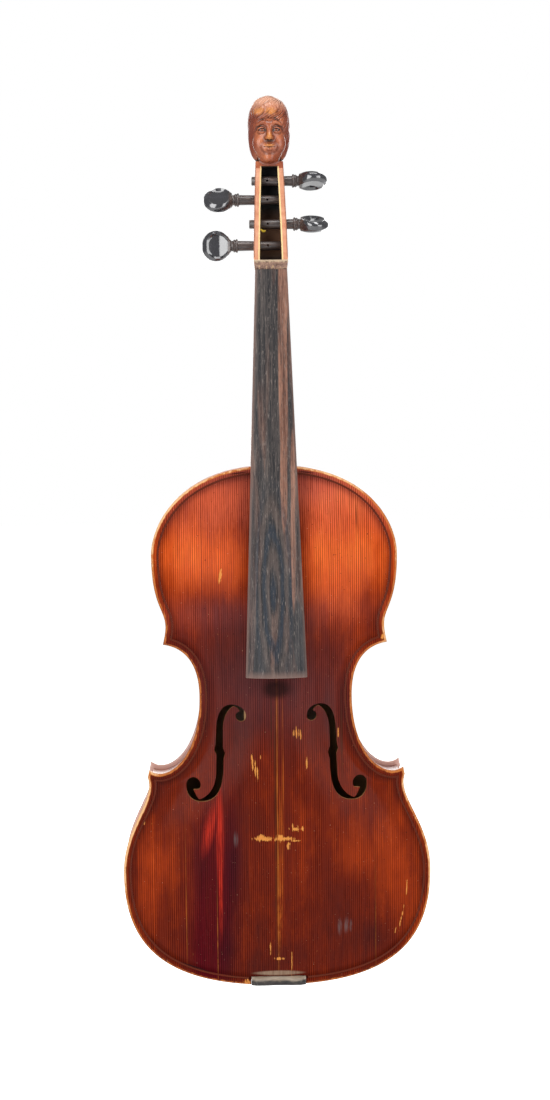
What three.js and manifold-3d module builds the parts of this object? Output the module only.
import * as THREE from 'three';
import { mergeVertices } from 'three/addons/utils/BufferGeometryUtils.js';
import Module from 'manifold-3d';

// A full-size violin with a carved head, without strings, bridge, nut and tailpiece.
// Sizes are in millimetres. On the bench the instrument lies on its back:
// x runs across the body, y from the tail to the head, z up out of the top plate,
// with zero at the tail, on the centre joint and on the crest of the top plate's edge.

const wasm = await Module();
wasm.setup();
const { Manifold, Mesh } = wasm;

// Fit between glued or turning pieces, the overrun of every cut, and what counts as touching
const seam = 0.3;
const overrun = 5;
const closeness = 1e-4;

// Outline of the body
const bodyLength = 356;
const lowerHalfWidth = 104.9;
const upperHalfWidth = 83.3;
const waistHalfWidth = 51.8;
const lowerCornerX = 87.2;
const upperCornerX = 75.5;
const lowerWidestShare = 0.2219;
const lowerCornerShare = 0.41376;
const waistShare = 0.559;
const upperCornerShare = 0.66854;
const upperWidestShare = 0.83146;
const lowerWidest = lowerWidestShare * bodyLength;
const lowerCornerPlace = lowerCornerShare * bodyLength;
const waistPlace = waistShare * bodyLength;
const upperCornerPlace = upperCornerShare * bodyLength;
const upperWidest = upperWidestShare * bodyLength;
const cornerTipWidth = 5.4;
const cornerLean = THREE.MathUtils.degToRad(11.5);
const outlineShares = {
  tailFlat: 0.733, tailRise: 0.647, lowerShoulder: 0.496,
  lowerCornerIn: 0.161, lowerCornerDown: 0.245,
  hookIn: 0.311, hookDown: 0.195, waistFall: 0.874,
  waistRise: 0.22, upperHookIn: 0.98, upperHookDown: 0.094,
  upperCornerIn: 0.1617, upperCornerUp: 0.344, upperShoulder: 0.721,
  headRise: 0.319, headFlat: 0.787,
};
const facetLength = 40;
const facetTurn = THREE.MathUtils.degToRad(18);

// Plates
const edgeThickness = 4;
const edgeOverhang = 2.7;
const edgeRound = 0.8;
const crestInset = 1.4;
const channelInset = 9;
const channelDepth = 1.3;
const channelThickness = 2.7;
const plateThickness = 3;
const topArchHeight = 12.5;
const backArchHeight = 14;
const tailArchEndShare = 0.2388;
const archMiddleShare = 0.5197;
const headArchEndShare = 0.809;
const tailArchEnd = tailArchEndShare * bodyLength;
const archMiddle = archMiddleShare * bodyLength;
const headArchEnd = headArchEndShare * bodyLength;
const archSpreadShare = 0.7;
const archFallShare = 0.16;
const archPowerShare = 0.8;
const outerArchShares = [0.1, 0.24, 0.42, 0.68];
const innerArchShares = [0.12, 0.32, 0.62];

// Inlaid edge strip
const purflingInset = 4;
const purflingWidth = 1.2;
const purflingDepth = 1.7;
const purflingSeam = 0.3;

// Sound holes
const holeInner = 20.4;
const holeWidth = 41.1;
const holePlaceShare = 0.3618;
const holeTail = holePlaceShare * bodyLength;
const holeLength = 65.9;
const upperEyeRadius = 3.5;
const lowerEyeRadius = 4.9;

// Ribs, linings and blocks
const ribHeight = 30;
const ribThickness = 1.1;
const liningThickness = 2;
const liningHeight = 7;
const tailBlockHalfWidth = 25;
const tailBlockDepth = 14;
const headBlockHalfWidth = 27;
const headBlockDepth = 15;
const cornerBlockOuterReach = 23;
const cornerBlockInnerReach = 18;
const cornerBlockEnd = 4;
const endPinBore = 4;

// Bass bar and sound post
const barX = -19;
const barThickness = 5.5;
const barTail = 45;
const barHeadInset = 44;
const barHead = bodyLength - barHeadInset;
const barDrop = 4.5;
const barEndRise = 2;
const postX = 20;
const postPlaceShare = 0.4354;
const postPlace = postPlaceShare * bodyLength;
const postRadius = 3.1;

// Fingerboard, and the neck's length from the body's edge to the nut
const neckLength = 131;
const boardLength = 271.5;
const boardHead = bodyLength + neckLength;
const boardTail = boardHead - boardLength;
const boardHeadHalfWidth = 10.7;
const boardTailHalfWidth = 20.4;
const boardHeadRise = 0.4;
const boardTailRise = 26.2;
const boardEdge = 5.5;
const boardRadius = 42;
const boardHollow = 2.6;
const boardHollowInset = 11;
const boardHollowStart = bodyLength - boardHollowInset;
const boardHollowRunIn = 10.4;
const boardHollowWidthShare = 0.8;

// Neck, heel and button
const mortiseDepth = 5.5;
const neckDepthAtHeel = 14.5;
const neckDepthAtNut = 12.5;
const heelHalfWidth = 10.6;
const buttonLength = 13.5;
const heelCove = 26;
const nutSeatLength = 6.8;
const nutSeatDrop = 0.5;
const neckSquareShare = 0.15;
const swellSquareShare = 0.55;
const pegboxSquareShare = 0.7;
const nutWidthShare = 0.6;
const heelTopShare = 0.35;
const heelWidthPowerShare = 1.4;
const heelCovePowerShare = 2.6;

// Pegbox
const pegboxLength = 68;
const pegboxNutHalfWidth = 11.6;
const pegboxHeadHalfWidth = 9.4;
const pegboxNutDepth = 24.5;
const pegboxHeadDepth = 16;
const pegboxFall = 8.5;
const cheekThickness = 4.3;
const pegboxFloor = 5;
const slotHeadWall = 3.5;
const pegboxBelly = 1.75;
const pegboxFallPowerShare = 1.2;
const pegboxTaperPowerShare = 1.3;
const pegDepthShare = 0.42;
const hangingShare = 0.42;

// Pegs
const pegRadius = 3.4;
const pegTaper = 1 / 60;
const collarRadius = 4.6;
const collarLength = 3.2;
const pegNeckRadius = 3.5;
const thumbStart = 4.6;
const thumbLength = 20;
const thumbHalfWidth = 10.3;
const thumbThickness = 8.4;
const thumbRimThickness = 6.2;
const thumbDish = 1.5;
const pegCollarReach = 22;
const pegTipReach = 14.1;

// Each peg's place in the peg box, the side of its thumb piece, how far the collar and the
// thin end reach from the middle, and the turn of the thumb piece in degrees
const pegs = [
  { name: 'peg_g', placeShare: 0.1588, side: -1, collarShare: 1, tipShare: 0.8227, turn: 4 },
  { name: 'peg_d', placeShare: 0.6221, side: -1, collarShare: 0.9455, tipShare: 0.7305, turn: -42 },
  { name: 'peg_a', placeShare: 0.8132, side: 1, collarShare: 0.7, tipShare: 0.8652, turn: 76 },
  { name: 'peg_e', placeShare: 0.3765, side: 1, collarShare: 0.7182, tipShare: 1, turn: -68 },
];

// Saddle
const saddleHalfWidth = 18.6;
const saddleDepth = 6.2;
const saddleRise = 3.6;
const saddleDip = 1.2;
const saddleEndRise = 0.9;

// Carved head
const headHeight = 49;
const headWidth = 29;
const headDepth = 36;
const headSink = 3.3;

// Heights that follow
const ribTop = -edgeThickness - seam;
const ribBottom = ribTop - ribHeight;
const backInner = ribBottom - seam;
const ribInset = edgeOverhang;
const liningInset = ribInset + ribThickness + seam;
const pegboxStart = boardHead + nutSeatLength;
const pegboxEnd = pegboxStart + pegboxLength;
const headBase = pegboxEnd - headSink;

const materials = {
  spruce: new THREE.MeshStandardMaterial({ color: 0x8a3a16, roughness: 0.42, metalness: 0 }),
  maple: new THREE.MeshStandardMaterial({ color: 0x93461c, roughness: 0.4, metalness: 0 }),
  bareWood: new THREE.MeshStandardMaterial({ color: 0xc9a26a, roughness: 0.8, metalness: 0 }),
  ebony: new THREE.MeshStandardMaterial({ color: 0x2b2726, roughness: 0.5, metalness: 0 }),
  inlay: new THREE.MeshStandardMaterial({ color: 0x1c1512, roughness: 0.6, metalness: 0 }),
};

const { lerp, clamp, smoothstep } = THREE.MathUtils;
const point2 = (x, y) => new THREE.Vector2(x, y);
const point3 = (x, y, z) => new THREE.Vector3(x, y, z);

// Closed meshes and cuts

// Joins triangles into one closed mesh, leaves out those with no area and faces it outwards.
function closedMesh(triangles) {
  const soup = new THREE.BufferGeometry();
  const values = triangles.flatMap((corners) => corners.flatMap((corner) => corner.toArray()));
  soup.setAttribute('position', new THREE.Float32BufferAttribute(values, 3));
  const merged = mergeVertices(soup, 1e-3);
  const old = merged.index.array;
  const kept = [];
  for (let i = 0; i < old.length; i += 3) {
    const [a, b, c] = [old[i], old[i + 1], old[i + 2]];
    if (a !== b && b !== c && c !== a) kept.push(a, b, c);
  }
  const place = merged.attributes.position;
  const corner = (i) => new THREE.Vector3().fromBufferAttribute(place, kept[i]);
  let volume = 0;
  for (let i = 0; i < kept.length; i += 3) {
    volume += corner(i).dot(corner(i + 1).cross(corner(i + 2)));
  }
  if (volume < 0) kept.reverse();
  merged.setIndex(kept);
  return merged;
}

function solid(geometry) {
  const bare = new THREE.BufferGeometry();
  bare.setAttribute('position', geometry.attributes.position);
  if (geometry.index) bare.setIndex(geometry.index);
  const merged = mergeVertices(bare, 1e-3);
  return new Manifold(new Mesh({
    numProp: 3,
    vertProperties: new Float32Array(merged.attributes.position.array),
    triVerts: new Uint32Array(merged.index.array),
  }));
}

function geometryOf(manifold) {
  const mesh = manifold.getMesh();
  const geometry = new THREE.BufferGeometry();
  geometry.setAttribute('position', new THREE.Float32BufferAttribute(mesh.vertProperties, 3));
  geometry.setIndex([...mesh.triVerts]);
  return geometry;
}

const cutFrom = (base, tools) =>
  geometryOf(tools.reduce((left, tool) => left.subtract(solid(tool)), solid(base)));
const joined = (first, others) =>
  geometryOf(others.reduce((sum, other) => sum.add(solid(other)), solid(first)));

// A skin over a stack of closed rings with equal counts, closed at both ends to a middle point.
function loft(rings) {
  const triangles = [];
  const count = rings[0].length;
  for (let r = 0; r + 1 < rings.length; r++) {
    for (let i = 0; i < count; i++) {
      const j = (i + 1) % count;
      triangles.push([rings[r][i], rings[r][j], rings[r + 1][j]]);
      triangles.push([rings[r][i], rings[r + 1][j], rings[r + 1][i]]);
    }
  }
  const close = (ring, flip) => {
    const middle = ring.reduce((sum, p) => sum.add(p), point3(0, 0, 0)).divideScalar(count);
    for (let i = 0; i < count; i++) {
      const j = (i + 1) % count;
      triangles.push(flip ? [middle, ring[j], ring[i]] : [middle, ring[i], ring[j]]);
    }
  };
  close(rings[0], true);
  close(rings[rings.length - 1], false);
  return closedMesh(triangles);
}

function slab(points, low, high) {
  const settings = { depth: high - low, bevelEnabled: false };
  const geometry = new THREE.ExtrudeGeometry(new THREE.Shape(points), settings);
  return geometry.translate(0, 0, low);
}

// Outline of the body, as three runs up one side: tail, waist and head

class Run {
  constructor(curves) {
    const samples = 60;
    this.points = [];
    this.tangents = [];
    curves.forEach((curve, index) => {
      for (let i = index ? 1 : 0; i <= samples; i++) {
        this.points.push(curve.getPoint(i / samples));
        this.tangents.push(curve.getTangent(i / samples));
      }
    });
    this.lengths = [0];
    for (let i = 1; i < this.points.length; i++) {
      this.lengths.push(this.lengths[i - 1] + this.points[i].distanceTo(this.points[i - 1]));
    }
    this.length = this.lengths.at(-1);
  }

  locate(length) {
    const last = this.lengths.length - 2;
    let i = this.lengths.findIndex((value) => value > length) - 1;
    if (i < 0) i = length <= 0 ? 0 : last;
    const share = (length - this.lengths[i]) / (this.lengths[i + 1] - this.lengths[i]);
    return { i, share: clamp(share, 0, 1) };
  }

  tangent(length) {
    const { i, share } = this.locate(length);
    return this.tangents[i].clone().lerp(this.tangents[i + 1], share).normalize();
  }

  // The point at a length along the run, moved square to it into the body
  at(length, inset) {
    const { i, share } = this.locate(length);
    const along = this.tangent(length);
    const place = this.points[i].clone().lerp(this.points[i + 1], share);
    return place.add(point2(-along.y, along.x).multiplyScalar(inset));
  }

  // Lengths at which every edge that follows this run has its corners
  stations() {
    const measure = [0];
    for (let i = 1; i < this.points.length; i++) {
      const turn = Math.abs(this.tangents[i].angleTo(this.tangents[i - 1]));
      const step = this.lengths[i] - this.lengths[i - 1];
      measure.push(measure[i - 1] + step / facetLength + turn / facetTurn);
    }
    const total = measure.at(-1);
    const count = Math.round(total);
    return Array.from({ length: count + 1 }, (_, k) => {
      if (k === count) return this.length;
      const wanted = (total * k) / count;
      const i = Math.max(1, measure.findIndex((value) => value >= wanted));
      const share = (wanted - measure[i - 1]) / (measure[i] - measure[i - 1]);
      return lerp(this.lengths[i - 1], this.lengths[i], clamp(share, 0, 1));
    });
  }
}

function bodyRuns() {
  const s = outlineShares;
  const tip = point2(-Math.sin(cornerLean), Math.cos(cornerLean)).multiplyScalar(cornerTipWidth / 2);
  const lower = point2(lowerCornerX, lowerCornerPlace);
  const upper = point2(upperCornerX, upperCornerPlace);
  const [lowerOuter, lowerInner] = [lower.clone().sub(tip), lower.clone().add(tip)];
  const [upperInner, upperOuter] = [upper.clone().sub(tip), upper.clone().add(tip)];
  const curve = (...points) => new THREE.CubicBezierCurve(...points);
  const lowerRise = lowerOuter.y - lowerWidest;
  const upperRise = upperWidest - upperOuter.y;
  const hookWidth = lowerInner.x - waistHalfWidth;
  const upperHookWidth = upperInner.x - waistHalfWidth;
  const tail = new Run([
    curve(point2(0, 0), point2(s.tailFlat * lowerHalfWidth, 0),
      point2(lowerHalfWidth, lowerWidest * (1 - s.tailRise)), point2(lowerHalfWidth, lowerWidest)),
    curve(
      point2(lowerHalfWidth, lowerWidest), point2(lowerHalfWidth, lowerWidest + s.lowerShoulder * lowerRise),
      point2(lowerOuter.x - s.lowerCornerIn * hookWidth, lowerOuter.y - s.lowerCornerDown * lowerRise),
      lowerOuter),
  ]);
  const waist = new Run([
    curve(lowerInner,
      point2(lowerInner.x - s.hookIn * hookWidth, lowerInner.y - s.hookDown * (waistPlace - lowerInner.y)),
      point2(waistHalfWidth, waistPlace - s.waistFall * (waistPlace - lowerInner.y)),
      point2(waistHalfWidth, waistPlace)),
    curve(point2(waistHalfWidth, waistPlace),
      point2(waistHalfWidth, waistPlace + s.waistRise * (upperInner.y - waistPlace)),
      point2(
        upperInner.x - s.upperHookIn * upperHookWidth,
        upperInner.y - s.upperHookDown * (upperInner.y - waistPlace)),
      upperInner),
  ]);
  const head = new Run([
    curve(upperOuter,
      point2(upperOuter.x - s.upperCornerIn * upperHookWidth, upperOuter.y + s.upperCornerUp * upperRise),
      point2(upperHalfWidth, upperWidest - s.upperShoulder * upperRise), point2(upperHalfWidth, upperWidest)),
    curve(
      point2(upperHalfWidth, upperWidest),
      point2(upperHalfWidth, upperWidest + s.headRise * (bodyLength - upperWidest)),
      point2(s.headFlat * upperHalfWidth, bodyLength), point2(0, bodyLength)),
  ]);
  return { tail, waist, head };
}

function distanceToSegment(p, start, end) {
  const along = end.clone().sub(start);
  const share = clamp(p.clone().sub(start).dot(along) / along.lengthSq(), 0, 1);
  return p.distanceTo(start.clone().add(along.multiplyScalar(share)));
}

const distanceToLine = (p, points) => points.slice(1)
  .reduce((least, end, i) => Math.min(least, distanceToSegment(p, points[i], end)), Infinity);

// Where two runs meet at a pointed corner, with the flat tip between them
const cornerBetween = (before, after) => ({ before, after, tip: [before.points.at(-1), after.points[0]] });

const runs = bodyRuns();
const corners = {
  lower: cornerBetween(runs.tail, runs.waist),
  upper: cornerBetween(runs.waist, runs.head),
};
const stations = {
  tail: runs.tail.stations(), waist: runs.waist.stations(), head: runs.head.stations(),
};

// How far along a run its inset copy reaches before it meets that of the tip or of the next run
function trimmed(run, inset, corner, atEnd) {
  const other = (atEnd ? corner.after : corner.before).points;
  const place = (reach) => (atEnd ? run.length - reach : reach);
  const clear = (reach) => {
    const p = run.at(place(reach), inset);
    const limit = inset - closeness;
    return distanceToLine(p, corner.tip) >= limit && distanceToLine(p, other) >= limit;
  };
  const step = cornerTipWidth / 4;
  let inside = 0;
  while (!clear(inside) && inside < run.length / 2) inside += step;
  if (inside === 0) return place(0);
  let outside = inside - step;
  for (let i = 0; i < 30; i++) {
    const middle = (inside + outside) / 2;
    if (clear(middle)) inside = middle;
    else outside = middle;
  }
  return place(inside);
}

const spans = (inset) => ({
  tail: [0, trimmed(runs.tail, inset, corners.lower, true)],
  waist: [trimmed(runs.waist, inset, corners.lower, false), trimmed(runs.waist, inset, corners.upper, true)],
  head: [trimmed(runs.head, inset, corners.upper, false), runs.head.length],
});

// Lengths at which the blocks end and the linings start; the nearest station moves to each
const liningSpans = spans(liningInset);
const blockEnds = {
  tail: [tailBlockHalfWidth, liningSpans.tail[1] - cornerBlockOuterReach],
  waist: [liningSpans.waist[0] + cornerBlockInnerReach, liningSpans.waist[1] - cornerBlockInnerReach],
  head: [liningSpans.head[0] + cornerBlockOuterReach, runs.head.length - headBlockHalfWidth],
};
for (const [name, ends] of Object.entries(blockEnds)) {
  for (const end of ends) {
    const gaps = stations[name].slice(1, -1).map((length) => Math.abs(length - end));
    stations[name][1 + gaps.indexOf(Math.min(...gaps))] = end;
  }
}

// The points of an inset run between two lengths, with the shared stations between them
function runPoints(name, inset, from, to) {
  const between = stations[name].filter((length) => length > from && length < to);
  return [from, ...between, to].map((length) => runs[name].at(length, inset));
}

// One side of the outline at an inset, from tail to head, with as many points at every inset
function halfLoop(inset) {
  const span = spans(inset);
  const [tail, waist, head] = ['tail', 'waist', 'head'].map((name) => stations[name]
    .map((length) => runs[name].at(clamp(length, span[name][0], span[name][1]), inset)));
  const join = (before, after) => {
    const [start, end] = [before.at(-1).clone(), after[0].clone()];
    if (start.distanceTo(end) > seam / 2) return;
    [before, after].forEach((side) => side.forEach((p) => {
      if (Math.min(p.distanceTo(start), p.distanceTo(end)) < closeness) p.copy(start);
    }));
  };
  join(tail, waist);
  join(waist, head);
  tail[0].x = 0;
  head.at(-1).x = 0;
  return [...tail, ...waist, ...head];
}

const fullLoop = (half) => [...half, ...half.slice(1, -1).reverse().map((p) => point2(-p.x, p.y))];
const loopAt = (inset, z) => fullLoop(halfLoop(inset)).map((p) => point3(p.x, p.y, z));

// Arching

// Height of the scooped edge between its crest and the low line of the channel
const scoop = (inset) => -channelDepth * smoothstep(inset, crestInset, channelInset);

// Half the width of the arched part, from bout to waist to bout; the pointed corners stay flat beyond it
function archHalfWidth(y) {
  const waist = waistHalfWidth - channelInset;
  const share = y < waistPlace
    ? (y - lowerWidest) / (waistPlace - lowerWidest)
    : (upperWidest - y) / (upperWidest - waistPlace);
  if (share <= 0) return lowerHalfWidth;
  const bout = (y < waistPlace ? lowerHalfWidth : upperHalfWidth) - channelInset;
  return lerp(waist, bout, Math.cos((Math.PI / 2) * share) ** 2);
}

// A ring between the channel and the ridge, at the outer height or lowered by the thickness there
function archRing(share, archHeight, inner, lower = 0) {
  const low = halfLoop(channelInset).map((p) => point2(Math.min(p.x, archHalfWidth(p.y)), p.y));
  const ring = low.map((p) => {
    const spread = archMiddle + (p.y - archMiddle) * archSpreadShare;
    const ridgeY = clamp(spread, tailArchEnd, headArchEnd);
    const away = (ridgeY - archMiddle) / (bodyLength / 2);
    const ridge = archHeight * (1 - archFallShare * away * away);
    const rise = Math.sin((Math.PI / 2) * share ** archPowerShare) ** 2;
    const z = lerp(-channelDepth, ridge, rise) - (inner ? lerp(channelThickness, plateThickness, share) : 0);
    return point3(p.x * (1 - share), lerp(p.y, ridgeY, share), z - lower);
  });
  const mirrored = ring.slice(1, -1).reverse().map((p) => point3(-p.x, p.y, p.z));
  return [...ring, ...mirrored];
}

// The skin between rings, without ends: the innermost rings lie on the ridge and close themselves
function ridgeLoft(rings) {
  const triangles = [];
  const count = rings[0].length;
  for (let r = 0; r + 1 < rings.length; r++) {
    for (let i = 0; i < count; i++) {
      const j = (i + 1) % count;
      triangles.push([rings[r][i], rings[r][j], rings[r + 1][j]]);
      triangles.push([rings[r][i], rings[r + 1][j], rings[r + 1][i]]);
    }
  }
  return closedMesh(triangles);
}

// An arched plate with its edge, its groove for the inlay, and its hollow
function plate(archHeight) {
  const grooveOuter = purflingInset - purflingSeam;
  const grooveInner = purflingInset + purflingWidth + purflingSeam;
  return ridgeLoft([
    archRing(1, archHeight, true),
    ...[...innerArchShares].reverse().map((share) => archRing(share, archHeight, true)),
    loopAt(channelInset, -edgeThickness),
    loopAt(edgeRound, -edgeThickness),
    loopAt(0, edgeRound - edgeThickness),
    loopAt(0, -edgeRound),
    loopAt(crestInset, 0),
    loopAt(grooveOuter, scoop(grooveOuter)),
    loopAt(grooveOuter, scoop(grooveOuter) - purflingDepth),
    loopAt(grooveInner, scoop(grooveInner) - purflingDepth),
    loopAt(grooveInner, scoop(grooveInner)),
    loopAt(channelInset, -channelDepth),
    ...outerArchShares.map((share) => archRing(share, archHeight, false)),
    archRing(1, archHeight, false),
  ]);
}

// Everything on the far side of a plate's inner face, to fit what stands under it
function aboveInnerFace(archHeight) {
  const far = archHeight + overrun;
  return ridgeLoft([
    archRing(1, archHeight, true, seam),
    ...[...innerArchShares].reverse().map((share) => archRing(share, archHeight, true, seam)),
    loopAt(channelInset, -edgeThickness - seam),
    loopAt(channelInset, far),
    archRing(1, archHeight, false).map((p) => point3(p.x, p.y, far)),
  ]);
}

function purfling() {
  const low = (inset) => scoop(inset) - purflingDepth + seam;
  const outer = purflingInset;
  const inner = purflingInset + purflingWidth;
  const rings = [
    loopAt(outer, scoop(outer)), loopAt(outer, low(outer)),
    loopAt(inner, low(inner)), loopAt(inner, scoop(inner)),
  ];
  return ridgeLoft([...rings, rings[0]]);
}

// Sound hole, on the right side; its points are shares of its width and length
function soundHole(side) {
  const at = (u, v) => point2(holeInner + u * holeWidth, holeTail + v * holeLength);
  const points = [];
  const to = (u, v) => points.push(at(u, v));
  const curve = (steps, ...shares) => {
    const handles = [0, 2, 4].map((i) => at(shares[i], shares[i + 1]));
    const bend = new THREE.CubicBezierCurve(points.at(-1), ...handles);
    points.push(...bend.getPoints(steps).slice(1));
  };
  const eye = (u, v, radius, fromShare, toShare, steps) => {
    for (let i = 0; i <= steps; i++) {
      const angle = Math.PI * lerp(fromShare, toShare, i / steps);
      points.push(at(u, v).add(point2(Math.cos(angle), Math.sin(angle)).multiplyScalar(radius)));
    }
  };
  to(0.105, 0.935);
  curve(2, 0.135, 0.965, 0.175, 0.985, 0.207, 0.98);
  curve(3, 0.28, 0.955, 0.38, 0.88, 0.384, 0.73);
  to(0.388, 0.555);
  to(0.352, 0.497);
  to(0.38, 0.43);
  curve(5, 0.38, 0.16, 0.455, 0.0, 0.77, 0.0);
  curve(2, 0.91, 0.0, 0.99, 0.06, 0.998, 0.14);
  eye(0.88, 0.17, lowerEyeRadius, 0.04, 1.2, 5);
  to(0.88, 0.118);
  curve(2, 0.845, 0.08, 0.815, 0.02, 0.77, 0.024);
  curve(4, 0.66, 0.055, 0.505, 0.13, 0.502, 0.31);
  to(0.495, 0.475);
  to(0.53, 0.525);
  to(0.51, 0.575);
  to(0.492, 0.745);
  curve(4, 0.485, 0.9, 0.395, 1.0, 0.225, 1.0);
  curve(2, 0.09, 1.0, 0.0, 0.95, 0.001, 0.885);
  eye(0.085, 0.884, upperEyeRadius, 1.12, 2.25, 5);
  return slab(mirrored(points, side), -edgeThickness - overrun, topArchHeight + overrun);
}

// Fingerboard and neck lines

const boardShare = (y) => (boardHead - y) / (boardHead - boardTail);
const boardHalfWidth = (y) => lerp(boardHeadHalfWidth, boardTailHalfWidth, boardShare(y));
const boardRise = (y) => lerp(boardHeadRise, boardTailRise, boardShare(y));
const neckTop = (y) => boardRise(y) - boardEdge - seam;

function fingerboard() {
  const section = (y, hollow) => {
    const half = boardHalfWidth(y);
    const top = boardRise(y);
    const steps = 8;
    const crown = (x) => Math.sqrt(boardRadius ** 2 - x ** 2) - Math.sqrt(boardRadius ** 2 - half ** 2);
    const ring = [];
    for (let i = 0; i <= steps; i++) {
      const x = lerp(half, -half, i / steps);
      ring.push(point3(x, y, top + crown(x)));
    }
    for (let i = 0; i <= steps; i++) {
      const x = lerp(-half, half, i / steps);
      const bow = Math.max(0, 1 - (x / (boardHollowWidthShare * half)) ** 2);
      ring.push(point3(x, y, top - boardEdge + hollow * bow));
    }
    return ring;
  };
  return loft([
    section(boardHead, 0), section(boardHollowStart, 0),
    section(boardHollowStart - boardHollowRunIn, boardHollow), section(boardTail, boardHollow),
  ]);
}

// Lower edge of the pegbox and of the neck before it
const pegboxShare = (y) => (y - pegboxStart) / pegboxLength;
const pegboxFront = (y) => neckTop(y) - pegboxFall * Math.max(0, pegboxShare(y)) ** pegboxFallPowerShare;
const pegboxBack = (y) => {
  const nutBack = neckTop(pegboxStart) - pegboxNutDepth;
  const headBack = pegboxFront(pegboxEnd) - pegboxHeadDepth;
  const belly = pegboxBelly * Math.sin(Math.PI * clamp(pegboxShare(y), 0, 1));
  return lerp(nutBack, headBack, pegboxShare(y)) - belly;
};
const pegboxHalfWidth = (y) =>
  lerp(pegboxNutHalfWidth, pegboxHeadHalfWidth, clamp(pegboxShare(y), 0, 1) ** pegboxTaperPowerShare);

// A section across the neck: flat above, round or square below
function neckSection(y, halfWidth, top, depth, squareShare) {
  const steps = 10;
  const ring = [];
  for (let i = 0; i <= steps; i++) {
    const angle = (Math.PI * i) / steps;
    const power = 1 - squareShare;
    const x = halfWidth * Math.sign(Math.cos(angle)) * Math.abs(Math.cos(angle)) ** power;
    ring.push(point3(x, y, top - depth * Math.sin(angle) ** power));
  }
  return ring;
}

function neckShaft() {
  const heelEnd = bodyLength - mortiseDepth;
  const chin = boardHead - nutSeatLength;
  const depthAt = (y) => lerp(neckDepthAtHeel, neckDepthAtNut, (y - bodyLength) / (chin - bodyLength));
  const shaftShares = [1 / 3, 2 / 3];
  const rings = [heelEnd, ...shaftShares.map((share) => lerp(bodyLength, chin, share)), chin]
    .map((y) => neckSection(y, boardHalfWidth(y), neckTop(y), depthAt(y), neckSquareShare));
  const swellShares = [0.25, 0.5, 0.75];
  swellShares.forEach((share) => {
    const y = lerp(chin, pegboxStart, share);
    const grow = smoothstep(share, 0, 1);
    const half = y < boardHead
      ? boardHalfWidth(y)
      : lerp(boardHeadHalfWidth, pegboxNutHalfWidth, nutWidthShare);
    const depth = lerp(depthAt(y), pegboxNutDepth, grow);
    const square = lerp(neckSquareShare, swellSquareShare, grow);
    rings.push(neckSection(y, half, neckTop(y), depth, square));
  });
  const bodyShares = [0, 0.08, 0.25, 0.5, 0.75, 1];
  bodyShares.forEach((share) => {
    const y = lerp(pegboxStart, pegboxEnd, share);
    const depth = pegboxFront(y) - pegboxBack(y);
    rings.push(neckSection(y, pegboxHalfWidth(y), pegboxFront(y), depth, pegboxSquareShare));
  });
  return loft(rings);
}

// The heel, stacked from the button up to the neck; a clearance widens it for the mortise
function heel(clearance) {
  const start = bodyLength - mortiseDepth - clearance;
  const coveShares = [0, 0.12, 0.34, 0.62, 0.85, 1];
  const bottom = backInner + seam - clearance;
  const top = neckTop(bodyLength) - neckDepthAtHeel * heelTopShare;
  const section = (share, z) => {
    const half = lerp(heelHalfWidth, boardHalfWidth(bodyLength), share ** heelWidthPowerShare) + clearance;
    const end = bodyLength + buttonLength + heelCove * share ** heelCovePowerShare;
    const ring = [point3(-half, start, z), point3(half, start, z)];
    const steps = 8;
    for (let i = 0; i <= steps; i++) {
      const angle = (Math.PI * i) / steps;
      const round = Math.min(half, buttonLength);
      ring.push(point3(half * Math.cos(angle), end - round + round * Math.sin(angle), z));
    }
    return ring;
  };
  const rings = coveShares.map((share) => section(share, lerp(bottom, top, share)));
  if (clearance > 0) rings.push(section(1, neckTop(bodyLength) + overrun));
  return loft(rings);
}

// The bare seat that the nut was glued to, a step below the fingerboard's glue face
function nutSeatCut() {
  const end = pegboxStart - 2 * seam;
  const ring = (y) => {
    const half = pegboxNutHalfWidth + overrun;
    const low = neckTop(y) - nutSeatDrop;
    const high = low + overrun;
    return [point3(-half, y, low), point3(half, y, low), point3(half, y, high), point3(-half, y, high)];
  };
  return loft([ring(boardHead), ring(end)]);
}

function pegboxSlot() {
  const start = pegboxStart + seam;
  const end = pegboxEnd - slotHeadWall;
  const ring = (y) => {
    const half = pegboxHalfWidth(y) - cheekThickness;
    const floor = pegboxBack(y) + pegboxFloor;
    const high = neckTop(y) + overrun;
    return [point3(-half, y, floor), point3(half, y, floor), point3(half, y, high), point3(-half, y, high)];
  };
  const shares = [0, 0.3, 0.65, 1];
  return loft(shares.map((share) => ring(lerp(start, end, share))));
}

// Pegs, turned along x with the collar's inner face at zero and the shaft towards minus x

const pegPlace = (peg) => pegboxStart + peg.placeShare * pegboxLength;
const pegDepth = (peg) => lerp(pegboxFront(pegPlace(peg)), pegboxBack(pegPlace(peg)), pegDepthShare);
const pegShaftLength = (peg) => peg.collarShare * pegCollarReach + peg.tipShare * pegTipReach;

function turned(profile, sides) {
  const lathe = new THREE.LatheGeometry(profile.map(([radius, along]) => point2(radius, along)), sides);
  return lathe.rotateZ(-Math.PI / 2);
}

function pegBore(peg) {
  const length = pegShaftLength(peg) + overrun;
  const radius = (along) => pegRadius - along * pegTaper + seam;
  return turned([
    [0, -length], [radius(length), -length], [radius(0), 0], [0, 0],
  ], 10);
}

function pegBody(peg) {
  const length = pegShaftLength(peg);
  const tip = pegRadius - length * pegTaper;
  const chamfer = seam;
  const collarShares = [[1, 0.4], [0.86, 0.5], [0.94, 0.75], [0.84, 1]];
  const stem = turned([
    [0, -length], [tip - chamfer, -length], [tip, chamfer - length], [pegRadius, 0], [collarRadius, 0],
    ...collarShares.map(([radius, along]) => [collarRadius * radius, collarLength * along]),
    [pegNeckRadius, thumbStart], [0, thumbStart + pegNeckRadius],
  ], 10);
  return joined(stem, [thumbPiece()]);
}

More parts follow.
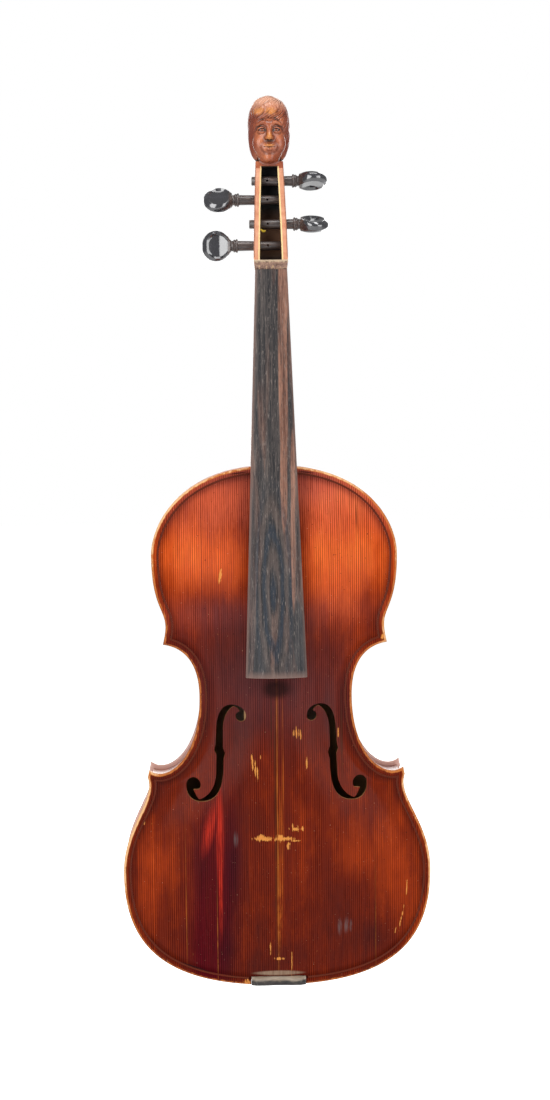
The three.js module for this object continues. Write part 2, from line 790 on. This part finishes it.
// The flat of the peg: a heart-like outline, thicker at its root, with a hollow in each face
function thumbPiece() {
  const outlineHalfShares = [
    [0, 0.34], [0.12, 0.62], [0.3, 0.9], [0.52, 1], [0.74, 0.9], [0.9, 0.62], [0.98, 0.3], [0.97, 0],
  ];
  const otherHalf = outlineHalfShares.slice(0, -1).reverse().map(([u, v]) => [u, -v]);
  const outline = [...outlineHalfShares, ...otherHalf];
  const [middleShare, edgeShare, rimShare, dishShare] = [0.5, 0.92, 0.12, 0.6];
  const ring = (scale, sign, dish) => outline.map(([u, v]) => {
    const along = lerp(middleShare, u, scale);
    const thick = lerp(thumbThickness, thumbRimThickness, clamp(along, 0, 1)) / 2 - dish;
    return point3(thumbStart - seam + along * thumbLength, v * scale * thumbHalfWidth, sign * thick);
  });
  return loft([
    ring(dishShare, -1, thumbDish), ring(edgeShare, -1, 0),
    ring(1, -1, thumbRimThickness * rimShare), ring(1, 1, thumbRimThickness * rimShare),
    ring(edgeShare, 1, 0), ring(dishShare, 1, thumbDish),
  ]);
}

// The axis of a peg as a place and turn on the bench
function placePeg(object, peg) {
  object.position.set(peg.side * peg.collarShare * pegCollarReach, pegPlace(peg), pegDepth(peg));
  object.rotation.set(THREE.MathUtils.degToRad(peg.turn), 0, 0);
  if (peg.side < 0) object.rotation.z = Math.PI;
  object.updateMatrix();
  return object;
}

const boreInPlace = (peg) =>
  pegBore(peg).applyMatrix4(placePeg(new THREE.Object3D(), { ...peg, turn: 0 }).matrix);

// Carved head: rounded masses blended into one skin, in x, forward and up from its base.
// Places and radii are shares of its width, depth and height.

const skullMasses = [
  { atShares: [0, -0.03, 0.63], sizeShares: [0.445, 0.405, 0.314], blendShare: 0 },
  { atShares: [0, 0.13, 0.4], sizeShares: [0.38, 0.26, 0.286], blendShare: 0.1 },
  { atShares: [0, 0.205, 0.643], sizeShares: [0.35, 0.183, 0.171], blendShare: 0.1 },
  { atShares: [0, 0.183, 0.194], sizeShares: [0.29, 0.183, 0.163], blendShare: 0.1 },
  { atShares: [0.21, 0.228, 0.298], sizeShares: [0.172, 0.136, 0.118], blendShare: 0.086, pair: true },
  { atShares: [0, 0.31, 0.1], sizeShares: [0.12, 0.072, 0.055], blendShare: 0.076 },
  { atShares: [0, -0.055, 0.04], sizeShares: [0.297, 0.25, 0.163], blendShare: 0.1 },
  { atShares: [0.16, 0.35, 0.571], sizeShares: [0.145, 0.04, 0.026], blendShare: 0.06, pair: true },
];
const eyeHollow = {
  atShares: [0.166, 0.428, 0.473], sizeShares: [0.114, 0.072, 0.05], blendShare: 0.048, pair: true,
};
const featureMasses = [
  { atShares: [0.166, 0.318, 0.471], sizeShares: [0.1, 0.072, 0.052], blendShare: 0.01, pair: true },
  { atShares: [0, 0.386, 0.46], sizeShares: [0.06, 0.056, 0.1], blendShare: 0.05 },
  { atShares: [0, 0.435, 0.361], sizeShares: [0.085, 0.062, 0.04], blendShare: 0.04 },
  { atShares: [0, 0.385, 0.25], sizeShares: [0.145, 0.046, 0.021], blendShare: 0.03 },
  { atShares: [0, 0.38, 0.212], sizeShares: [0.11, 0.044, 0.021], blendShare: 0.02 },
];
const hairMasses = [
  { atShares: [0, -0.055, 0.629], sizeShares: [0.43, 0.444, 0.361], blendShare: 0 },
  { atShares: [0.138, -0.055, 0.629], sizeShares: [0.355, 0.444, 0.355], blendShare: 0.05, pair: true },
  { atShares: [0.241, -0.044, 0.4], sizeShares: [0.252, 0.233, 0.327], blendShare: 0.08, pair: true },
  { atShares: [0, -0.239, 0.347], sizeShares: [0.366, 0.222, 0.286], blendShare: 0.1 },
];
const faceOpening = { atShares: [0.007, 0.539, 0.335], sizeShares: [0.424, 0.506, 0.37], blendShare: 0.05 };
const frontLocks = [
  { atShares: [-0.22, 0.31, 0.73], sizeShares: [0.19, 0.09, 0.06], blendShare: 0.05 },
  { atShares: [0.12, 0.34, 0.745], sizeShares: [0.14, 0.08, 0.06], blendShare: 0.05 },
  { atShares: [0.38, 0.2, 0.71], sizeShares: [0.09, 0.09, 0.12], blendShare: 0.05 },
];

const headScale = [headWidth, headDepth, headHeight];
const hairBlendShare = 0.035;

function massDistance(p, mass) {
  const x = mass.pair ? Math.abs(p[0]) : p[0];
  const centre = mass.atShares.map((share, i) => share * headScale[i]);
  const radii = mass.sizeShares.map((share, i) => share * headScale[i]);
  const d = [x - centre[0], p[1] - centre[1], p[2] - centre[2]];
  const near = Math.hypot(...d.map((value, i) => value / radii[i]));
  const steep = Math.hypot(...d.map((value, i) => value / radii[i] ** 2));
  return steep ? (near * (near - 1)) / steep : -Math.min(...radii);
}

function blendMin(a, b, reach) {
  if (!reach) return Math.min(a, b);
  const h = clamp(0.5 + (0.5 * (b - a)) / reach, 0, 1);
  return lerp(b, a, h) - reach * h * (1 - h);
}

const addMasses = (start, p, masses) => masses.reduce(
  (sum, mass) => blendMin(sum, massDistance(p, mass), mass.blendShare * headWidth), start);

function headDistance(p) {
  let flesh = addMasses(headHeight, p, skullMasses);
  flesh = -blendMin(-flesh, massDistance(p, eyeHollow), eyeHollow.blendShare * headWidth);
  flesh = addMasses(flesh, p, featureMasses);
  let hair = addMasses(headHeight, p, hairMasses);
  hair = -blendMin(-hair, massDistance(p, faceOpening), faceOpening.blendShare * headWidth);
  hair = addMasses(hair, p, frontLocks);
  return blendMin(flesh, hair, hairBlendShare * headWidth);
}

function carvedHead() {
  const coreShares = [0, 0.02, 0.5];
  const middle = coreShares.map((share, i) => share * headScale[i]);
  const [around, up] = [40, 24];
  const [faceCrowdShare, stepShare] = [0.42, 0.8];
  const rings = [];
  for (let j = 1; j < up; j++) {
    const tilt = Math.PI * (j / up - 0.5);
    const ring = [];
    for (let i = 0; i < around; i++) {
      const turn = (2 * Math.PI * i) / around;
      const facing = turn - faceCrowdShare * Math.sin(turn);
      const way = [Math.sin(facing) * Math.cos(tilt), Math.cos(facing) * Math.cos(tilt), Math.sin(tilt)];
      let reach = headHeight;
      for (let k = 0; k < 60; k++) {
        reach -= stepShare * headDistance(middle.map((value, n) => value + way[n] * reach));
      }
      const [x, forward, high] = middle.map((value, n) => value + way[n] * reach);
      ring.push(point3(x, headBase + high, headForward + forward));
    }
    rings.push(ring);
  }
  return loft(rings);
}

const headForward = lerp(pegboxFront(pegboxEnd), pegboxBack(pegboxEnd), hangingShare);

// Saddle, lofted across the body

function saddle() {
  const stationShares = [[-1, 0], [-0.8, 0.85], [-0.45, 1], [0, -1], [0.45, 1], [0.8, 0.85], [1, 0]];
  const crownShares = [[0.05, 0.55], [0.25, 1], [0.55, 0.95], [1, 0.15]];
  const section = (share, riseShare) => {
    const dip = riseShare < 0 ? saddleDip : 0;
    const rise = lerp(saddleEndRise, saddleRise, Math.abs(riseShare)) - dip;
    const crown = crownShares.map(([along, high]) => [saddleDepth * along, rise * high]);
    const ring = [[crown[0][0], -edgeThickness], ...crown, [saddleDepth, -edgeThickness]];
    return ring.map(([y, z]) => point3(share * saddleHalfWidth, y, z));
  };
  return loft(stationShares.map(([share, rise]) => section(share, rise)));
}

function saddleNotch() {
  const half = saddleHalfWidth + seam;
  const far = saddleDepth + seam;
  const box = [point2(-half, -overrun), point2(half, -overrun), point2(half, far), point2(-half, far)];
  return slab(box, -edgeThickness - overrun, topArchHeight);
}

const nothingBeyond = (side) => {
  const width = lowerHalfWidth + overrun;
  const box = new THREE.BoxGeometry(width, bodyLength + 2 * overrun, 2 * edgeThickness + 2 * overrun);
  return box.translate((side * width) / 2, bodyLength / 2, 0);
};

// Ribs, linings, blocks

const mirrored = (points, side) => points.map((p) => point2(side * p.x, p.y));

function strip(name, side, outerInset, innerInset, from, to, low, high) {
  const outer = runPoints(name, outerInset, from(outerInset), to(outerInset));
  const inner = runPoints(name, innerInset, from(innerInset), to(innerInset));
  return slab(mirrored([...outer, ...inner.reverse()], side), low, high);
}

const endPinHole = () => {
  const hole = new THREE.CylinderGeometry(endPinBore, endPinBore, tailBlockDepth + 4 * overrun, 20);
  return hole.translate(0, tailBlockDepth / 2, (ribTop + ribBottom) / 2);
};

function rib(name, side) {
  const span = (inset) => spans(inset)[name];
  const halfSeam = seam / 2;
  const body = strip(name, side, ribInset, ribInset + ribThickness,
    (inset) => span(inset)[0] + halfSeam, (inset) => span(inset)[1] - halfSeam, ribBottom, ribTop);
  if (name === 'tail') return cutFrom(body, [endPinHole()]);
  if (name === 'head') return cutFrom(body, [heel(seam)]);
  return body;
}

function lining(name, side, atTop) {
  const [from, to] = [blockEnds[name][0] + seam / 2, blockEnds[name][1] - seam / 2];
  const low = atTop ? ribTop - liningHeight : ribBottom;
  const inside = liningInset + liningThickness;
  return strip(name, side, liningInset, inside, () => from, () => to, low, low + liningHeight);
}

function cornerBlock(side, before, after) {
  const from = blockEnds[before][1] + seam / 2;
  const to = blockEnds[after][0] - seam / 2;
  const first = runPoints(before, liningInset, from, liningSpans[before][1]);
  const second = runPoints(after, liningInset, liningSpans[after][0], to);
  const endInset = liningInset + cornerBlockEnd;
  const ends = [runs[after].at(to, endInset), runs[before].at(from, endInset)];
  const points = [...first, ...second.filter((p) => p.distanceTo(first.at(-1)) > seam), ...ends];
  return slab(mirrored(points, side), ribBottom, ribTop);
}

function tailBlock() {
  const end = blockEnds.tail[0] - seam / 2;
  const outer = runPoints('tail', liningInset, 0, end);
  outer[0].x = 0;
  const inner = runs.tail.at(end, liningInset + tailBlockDepth);
  const right = [...outer, inner];
  const left = mirrored(right.slice(1), -1).reverse();
  return cutFrom(slab([...right, ...left], ribBottom, ribTop), [endPinHole()]);
}

function headBlock() {
  const start = blockEnds.head[1] + seam / 2;
  const outer = runPoints('head', liningInset, start, runs.head.length);
  outer.at(-1).x = 0;
  const inner = runs.head.at(start, liningInset + headBlockDepth);
  const right = [inner, ...outer];
  const left = mirrored(right.slice(0, -1), -1).reverse();
  return cutFrom(slab([...right, ...left], ribBottom, ribTop), [heel(seam)]);
}

function bassBar() {
  const profile = new THREE.Shape();
  profile.moveTo(barTail, barEndRise);
  profile.quadraticCurveTo((barTail + barHead) / 2, barEndRise - 2 * barDrop, barHead, barEndRise);
  profile.lineTo(barHead, topArchHeight);
  profile.lineTo(barTail, topArchHeight);
  const settings = { depth: barThickness, bevelEnabled: false, curveSegments: 8 };
  const bar = new THREE.ExtrudeGeometry(profile, settings);
  bar.rotateX(Math.PI / 2).rotateZ(Math.PI / 2).translate(barX - barThickness / 2, 0, 0);
  return cutFrom(bar, [aboveInnerFace(topArchHeight)]);
}

// The back plate is made face up, then turned over and set under the ribs
const underRibs = (geometry) => geometry.rotateY(Math.PI).translate(0, 0, backInner - edgeThickness);

function soundPost() {
  const tall = topArchHeight - backInner + edgeThickness + backArchHeight;
  const post = new THREE.CylinderGeometry(postRadius, postRadius, tall, 12).rotateX(Math.PI / 2);
  post.translate(postX, postPlace, topArchHeight - tall / 2);
  return cutFrom(post, [aboveInnerFace(topArchHeight), underRibs(aboveInnerFace(backArchHeight))]);
}

function backPlate() {
  const round = new THREE.Shape();
  const root = bodyLength - 2 * crestInset;
  round.moveTo(-heelHalfWidth, root);
  round.lineTo(heelHalfWidth, root);
  round.absarc(0, bodyLength + buttonLength - heelHalfWidth, heelHalfWidth, 0, Math.PI, false);
  const settings = { depth: edgeThickness - channelDepth, bevelEnabled: false, curveSegments: 12 };
  const button = new THREE.ExtrudeGeometry(round, settings);
  button.translate(0, 0, -edgeThickness);
  return joined(plate(backArchHeight), [button]);
}

// Assembly

const violin = new THREE.Group();

function add(name, geometry, material, parent = violin) {
  const mesh = new THREE.Mesh(geometry, material);
  mesh.name = name;
  parent.add(mesh);
  return mesh;
}

const { spruce, maple, bareWood, ebony, inlay } = materials;
const sides = [{ word: 'bass', side: -1 }, { word: 'treble', side: 1 }];

const topCuts = [soundHole(1), soundHole(-1), heel(seam), saddleNotch()];
add('top_plate', cutFrom(plate(topArchHeight), topCuts), spruce);
add('back_plate', underRibs(backPlate()), maple);
add('back_purfling', underRibs(purfling()), inlay);
sides.forEach(({ word, side }) => {
  const half = cutFrom(purfling(), [heel(seam), saddleNotch(), nothingBeyond(-side)]);
  add(`top_purfling_${word}`, half, inlay);
  add(`lower_rib_${word}`, rib('tail', side), maple);
  add(`middle_rib_${word}`, rib('waist', side), maple);
  add(`upper_rib_${word}`, rib('head', side), maple);
  add(`lower_corner_block_${word}`, cornerBlock(side, 'tail', 'waist'), bareWood);
  add(`upper_corner_block_${word}`, cornerBlock(side, 'waist', 'head'), bareWood);
  [['lower', 'tail'], ['middle', 'waist'], ['upper', 'head']].forEach(([place, name]) => {
    add(`${place}_top_lining_${word}`, lining(name, side, true), bareWood);
    add(`${place}_back_lining_${word}`, lining(name, side, false), bareWood);
  });
});
add('tail_block', tailBlock(), bareWood);
add('neck_block', headBlock(), bareWood);
add('bass_bar', bassBar(), bareWood);
add('sound_post', soundPost(), bareWood);
const neckWood = joined(neckShaft(), [heel(0), carvedHead()]);
add('neck', cutFrom(neckWood, [nutSeatCut(), pegboxSlot(), ...pegs.map(boreInPlace)]), maple);
add('fingerboard', fingerboard(), ebony);
add('saddle', saddle(), ebony);
pegs.forEach((peg) => placePeg(add(peg.name, pegBody(peg), ebony), peg));

// Stood up on its tail, face to the front, with the hanging point under the head at the origin
const upright = new THREE.Group();
violin.rotation.x = Math.PI / 2;
violin.position.set(0, headForward, -headBase);
upright.add(violin);

export default upright;
